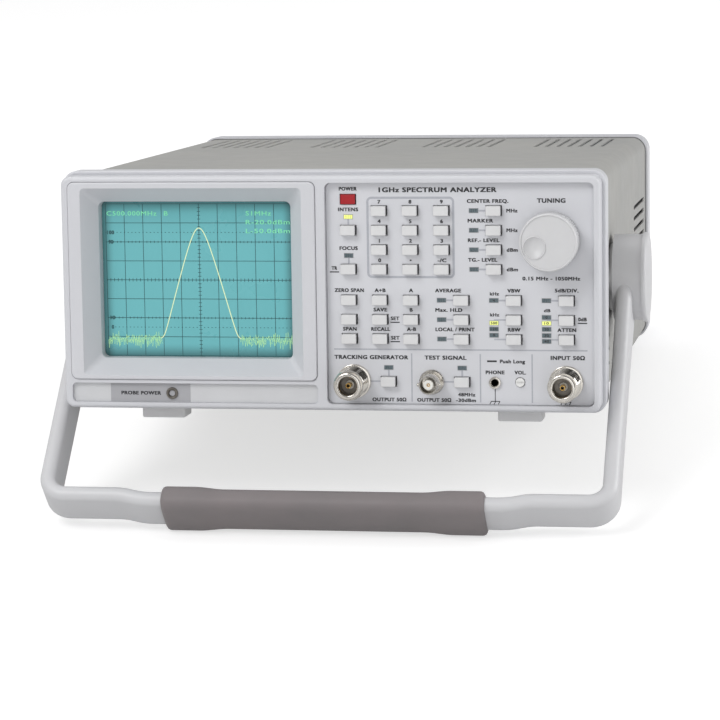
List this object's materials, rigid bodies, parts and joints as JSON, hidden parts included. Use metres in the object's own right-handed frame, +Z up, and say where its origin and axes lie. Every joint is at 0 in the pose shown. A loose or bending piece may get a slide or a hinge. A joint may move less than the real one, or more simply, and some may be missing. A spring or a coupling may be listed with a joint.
{
  "type": "spectrum analyzer",
  "caption": "Bench spectrum analyzer with a cathode-ray screen, keypad, tuning knob, coaxial sockets and a swinging handle.",
  "frame": {"origin": "centre of the ground under the instrument as it stands nose up on its handle grip and rear feet", "axes": "+Z up, -Y towards the user and the screen, +X to the right seen from the front"},
  "size_m": [0.3168, 0.4312, 0.1789],
  "materials": {
    "housing_plastic": "fine moulded grain, light cool grey",
    "bezel_plastic": "smooth moulded, light cool grey",
    "tube_glass": "flat glass over a teal phosphor",
    "shield_metal": "annealed magnetic alloy",
    "panel_metal": "fine powder coat with printed legends",
    "window_plastic": "smoked, three of them lit",
    "knob_plastic": "satin, finely ribbed edge",
    "trimmer_plastic": "white, slotted",
    "nickel_plate": "nickel plated",
    "case_paint": "textured paint, warm grey",
    "rear_paint": "smooth paint",
    "connector_plastic": "black moulding",
    "screw_steel": "zinc plated",
    "chassis_metal": "bare sheet",
    "foot_plastic": "smooth moulded",
    "board_laminate": "green laminate",
    "tinned_steel": "tinned sheet",
    "handle_plastic": "smooth moulded",
    "grip_rubber": "soft matt, warm grey",
    "power_plastic": "red",
    "key_plastic": "satin light grey"
  },
  "bodies": {
    "instrument": {"front_frame": "housing_plastic", "screen_bezel": "bezel_plastic", "picture_tube": "tube_glass", "tube_shield": "shield_metal", "control_panel": "panel_metal", "indicator_windows": "window_plastic", "coaxial_sockets": "nickel_plate", "small_sockets": "nickel_plate", "case_sleeve": "case_paint", "rear_frame": "housing_plastic", "rear_panel": "rear_paint", "rear_connectors": "connector_plastic", "case_screws": "screw_steel", "chassis": "chassis_metal", "feet": "foot_plastic", "circuit_boards": "board_laminate", "shielded_modules": "tinned_steel"},
    "handle": {"handle_bail": "handle_plastic", "handle_grip": "grip_rubber"},
    "tuning_knob": {"tuning_knob": "knob_plastic"},
    "volume_trimmer": {"volume_trimmer": "trimmer_plastic"},
    "power_button": {"power_button": "power_plastic"},
    "intensity_button": {"intensity_button": "key_plastic"},
    "focus_button": {"focus_button": "key_plastic"},
    "key_7": {"key_7": "key_plastic"},
    "key_8": {"key_8": "key_plastic"},
    "key_9": {"key_9": "key_plastic"},
    "key_4": {"key_4": "key_plastic"},
    "key_5": {"key_5": "key_plastic"},
    "key_6": {"key_6": "key_plastic"},
    "key_1": {"key_1": "key_plastic"},
    "key_2": {"key_2": "key_plastic"},
    "key_3": {"key_3": "key_plastic"},
    "key_0": {"key_0": "key_plastic"},
    "key_point": {"key_point": "key_plastic"},
    "key_clear": {"key_clear": "key_plastic"},
    "centre_frequency_button": {"centre_frequency_button": "key_plastic"},
    "marker_button": {"marker_button": "key_plastic"},
    "reference_level_button": {"reference_level_button": "key_plastic"},
    "tracking_level_button": {"tracking_level_button": "key_plastic"},
    "zero_span_button": {"zero_span_button": "key_plastic"},
    "span_up_button": {"span_up_button": "key_plastic"},
    "span_down_button": {"span_down_button": "key_plastic"},
    "sum_button": {"sum_button": "key_plastic"},
    "save_button": {"save_button": "key_plastic"},
    "recall_button": {"recall_button": "key_plastic"},
    "trace_a_button": {"trace_a_button": "key_plastic"},
    "trace_b_button": {"trace_b_button": "key_plastic"},
    "difference_button": {"difference_button": "key_plastic"},
    "average_button": {"average_button": "key_plastic"},
    "max_hold_button": {"max_hold_button": "key_plastic"},
    "local_print_button": {"local_print_button": "key_plastic"},
    "video_bandwidth_button": {"video_bandwidth_button": "key_plastic"},
    "resolution_up_button": {"resolution_up_button": "key_plastic"},
    "resolution_down_button": {"resolution_down_button": "key_plastic"},
    "scale_button": {"scale_button": "key_plastic"},
    "attenuation_up_button": {"attenuation_up_button": "key_plastic"},
    "attenuation_down_button": {"attenuation_down_button": "key_plastic"},
    "tracking_output_button": {"tracking_output_button": "key_plastic"},
    "test_signal_button": {"test_signal_button": "key_plastic"}
  },
  "joints": [
    {"name": "handle_swing", "type": "hinge", "parent": "instrument", "child": "handle", "pos_m": [0, -0.07958, 0.10528], "axis": [-1, 0, 0], "range_deg": [-50, 190]},
    {"name": "tuning_turn", "type": "hinge", "parent": "instrument", "child": "tuning_knob", "pos_m": [0.1155, -0.16419, 0.14654], "axis": [0, -0.9878, 0.1555], "continuous": true},
    {"name": "volume_turn", "type": "hinge", "parent": "instrument", "child": "volume_trimmer", "pos_m": [0.099, -0.17557, 0.07423], "axis": [0, -0.9878, 0.1555], "range_deg": [-135, 135]},
    {"name": "power_button_press", "type": "slide", "parent": "instrument", "child": "power_button", "axis": [0, 0.9878, -0.1555], "range_m": [-0.0032, 0]},
    {"name": "intensity_button_press", "type": "slide", "parent": "instrument", "child": "intensity_button", "axis": [0, 0.9878, -0.1555], "range_m": [0, 0.0012], "stiffness_N_per_m": 1200},
    {"name": "focus_button_press", "type": "slide", "parent": "instrument", "child": "focus_button", "axis": [0, 0.9878, -0.1555], "range_m": [0, 0.0012], "stiffness_N_per_m": 1200},
    {"name": "key_7_press", "type": "slide", "parent": "instrument", "child": "key_7", "axis": [0, 0.9878, -0.1555], "range_m": [0, 0.0012], "stiffness_N_per_m": 1200},
    {"name": "key_8_press", "type": "slide", "parent": "instrument", "child": "key_8", "axis": [0, 0.9878, -0.1555], "range_m": [0, 0.0012], "stiffness_N_per_m": 1200},
    {"name": "key_9_press", "type": "slide", "parent": "instrument", "child": "key_9", "axis": [0, 0.9878, -0.1555], "range_m": [0, 0.0012], "stiffness_N_per_m": 1200},
    {"name": "key_4_press", "type": "slide", "parent": "instrument", "child": "key_4", "axis": [0, 0.9878, -0.1555], "range_m": [0, 0.0012], "stiffness_N_per_m": 1200},
    {"name": "key_5_press", "type": "slide", "parent": "instrument", "child": "key_5", "axis": [0, 0.9878, -0.1555], "range_m": [0, 0.0012], "stiffness_N_per_m": 1200},
    {"name": "key_6_press", "type": "slide", "parent": "instrument", "child": "key_6", "axis": [0, 0.9878, -0.1555], "range_m": [0, 0.0012], "stiffness_N_per_m": 1200},
    {"name": "key_1_press", "type": "slide", "parent": "instrument", "child": "key_1", "axis": [0, 0.9878, -0.1555], "range_m": [0, 0.0012], "stiffness_N_per_m": 1200},
    {"name": "key_2_press", "type": "slide", "parent": "instrument", "child": "key_2", "axis": [0, 0.9878, -0.1555], "range_m": [0, 0.0012], "stiffness_N_per_m": 1200},
    {"name": "key_3_press", "type": "slide", "parent": "instrument", "child": "key_3", "axis": [0, 0.9878, -0.1555], "range_m": [0, 0.0012], "stiffness_N_per_m": 1200},
    {"name": "key_0_press", "type": "slide", "parent": "instrument", "child": "key_0", "axis": [0, 0.9878, -0.1555], "range_m": [0, 0.0012], "stiffness_N_per_m": 1200},
    {"name": "key_point_press", "type": "slide", "parent": "instrument", "child": "key_point", "axis": [0, 0.9878, -0.1555], "range_m": [0, 0.0012], "stiffness_N_per_m": 1200},
    {"name": "key_clear_press", "type": "slide", "parent": "instrument", "child": "key_clear", "axis": [0, 0.9878, -0.1555], "range_m": [0, 0.0012], "stiffness_N_per_m": 1200},
    {"name": "centre_frequency_button_press", "type": "slide", "parent": "instrument", "child": "centre_frequency_button", "axis": [0, 0.9878, -0.1555], "range_m": [0, 0.0012], "stiffness_N_per_m": 1200},
    {"name": "marker_button_press", "type": "slide", "parent": "instrument", "child": "marker_button", "axis": [0, 0.9878, -0.1555], "range_m": [0, 0.0012], "stiffness_N_per_m": 1200},
    {"name": "reference_level_button_press", "type": "slide", "parent": "instrument", "child": "reference_level_button", "axis": [0, 0.9878, -0.1555], "range_m": [0, 0.0012], "stiffness_N_per_m": 1200},
    {"name": "tracking_level_button_press", "type": "slide", "parent": "instrument", "child": "tracking_level_button", "axis": [0, 0.9878, -0.1555], "range_m": [0, 0.0012], "stiffness_N_per_m": 1200},
    {"name": "zero_span_button_press", "type": "slide", "parent": "instrument", "child": "zero_span_button", "axis": [0, 0.9878, -0.1555], "range_m": [0, 0.0012], "stiffness_N_per_m": 1200},
    {"name": "span_up_button_press", "type": "slide", "parent": "instrument", "child": "span_up_button", "axis": [0, 0.9878, -0.1555], "range_m": [0, 0.0012], "stiffness_N_per_m": 1200},
    {"name": "span_down_button_press", "type": "slide", "parent": "instrument", "child": "span_down_button", "axis": [0, 0.9878, -0.1555], "range_m": [0, 0.0012], "stiffness_N_per_m": 1200},
    {"name": "sum_button_press", "type": "slide", "parent": "instrument", "child": "sum_button", "axis": [0, 0.9878, -0.1555], "range_m": [0, 0.0012], "stiffness_N_per_m": 1200},
    {"name": "save_button_press", "type": "slide", "parent": "instrument", "child": "save_button", "axis": [0, 0.9878, -0.1555], "range_m": [0, 0.0012], "stiffness_N_per_m": 1200},
    {"name": "recall_button_press", "type": "slide", "parent": "instrument", "child": "recall_button", "axis": [0, 0.9878, -0.1555], "range_m": [0, 0.0012], "stiffness_N_per_m": 1200},
    {"name": "trace_a_button_press", "type": "slide", "parent": "instrument", "child": "trace_a_button", "axis": [0, 0.9878, -0.1555], "range_m": [0, 0.0012], "stiffness_N_per_m": 1200},
    {"name": "trace_b_button_press", "type": "slide", "parent": "instrument", "child": "trace_b_button", "axis": [0, 0.9878, -0.1555], "range_m": [0, 0.0012], "stiffness_N_per_m": 1200},
    {"name": "difference_button_press", "type": "slide", "parent": "instrument", "child": "difference_button", "axis": [0, 0.9878, -0.1555], "range_m": [0, 0.0012], "stiffness_N_per_m": 1200},
    {"name": "average_button_press", "type": "slide", "parent": "instrument", "child": "average_button", "axis": [0, 0.9878, -0.1555], "range_m": [0, 0.0012], "stiffness_N_per_m": 1200},
    {"name": "max_hold_button_press", "type": "slide", "parent": "instrument", "child": "max_hold_button", "axis": [0, 0.9878, -0.1555], "range_m": [0, 0.0012], "stiffness_N_per_m": 1200},
    {"name": "local_print_button_press", "type": "slide", "parent": "instrument", "child": "local_print_button", "axis": [0, 0.9878, -0.1555], "range_m": [0, 0.0012], "stiffness_N_per_m": 1200},
    {"name": "video_bandwidth_button_press", "type": "slide", "parent": "instrument", "child": "video_bandwidth_button", "axis": [0, 0.9878, -0.1555], "range_m": [0, 0.0012], "stiffness_N_per_m": 1200},
    {"name": "resolution_up_button_press", "type": "slide", "parent": "instrument", "child": "resolution_up_button", "axis": [0, 0.9878, -0.1555], "range_m": [0, 0.0012], "stiffness_N_per_m": 1200},
    {"name": "resolution_down_button_press", "type": "slide", "parent": "instrument", "child": "resolution_down_button", "axis": [0, 0.9878, -0.1555], "range_m": [0, 0.0012], "stiffness_N_per_m": 1200},
    {"name": "scale_button_press", "type": "slide", "parent": "instrument", "child": "scale_button", "axis": [0, 0.9878, -0.1555], "range_m": [0, 0.0012], "stiffness_N_per_m": 1200},
    {"name": "attenuation_up_button_press", "type": "slide", "parent": "instrument", "child": "attenuation_up_button", "axis": [0, 0.9878, -0.1555], "range_m": [0, 0.0012], "stiffness_N_per_m": 1200},
    {"name": "attenuation_down_button_press", "type": "slide", "parent": "instrument", "child": "attenuation_down_button", "axis": [0, 0.9878, -0.1555], "range_m": [0, 0.0012], "stiffness_N_per_m": 1200},
    {"name": "tracking_output_button_press", "type": "slide", "parent": "instrument", "child": "tracking_output_button", "axis": [0, 0.9878, -0.1555], "range_m": [0, 0.0012], "stiffness_N_per_m": 1200},
    {"name": "test_signal_button_press", "type": "slide", "parent": "instrument", "child": "test_signal_button", "axis": [0, 0.9878, -0.1555], "range_m": [0, 0.0012], "stiffness_N_per_m": 1200}
  ]
}
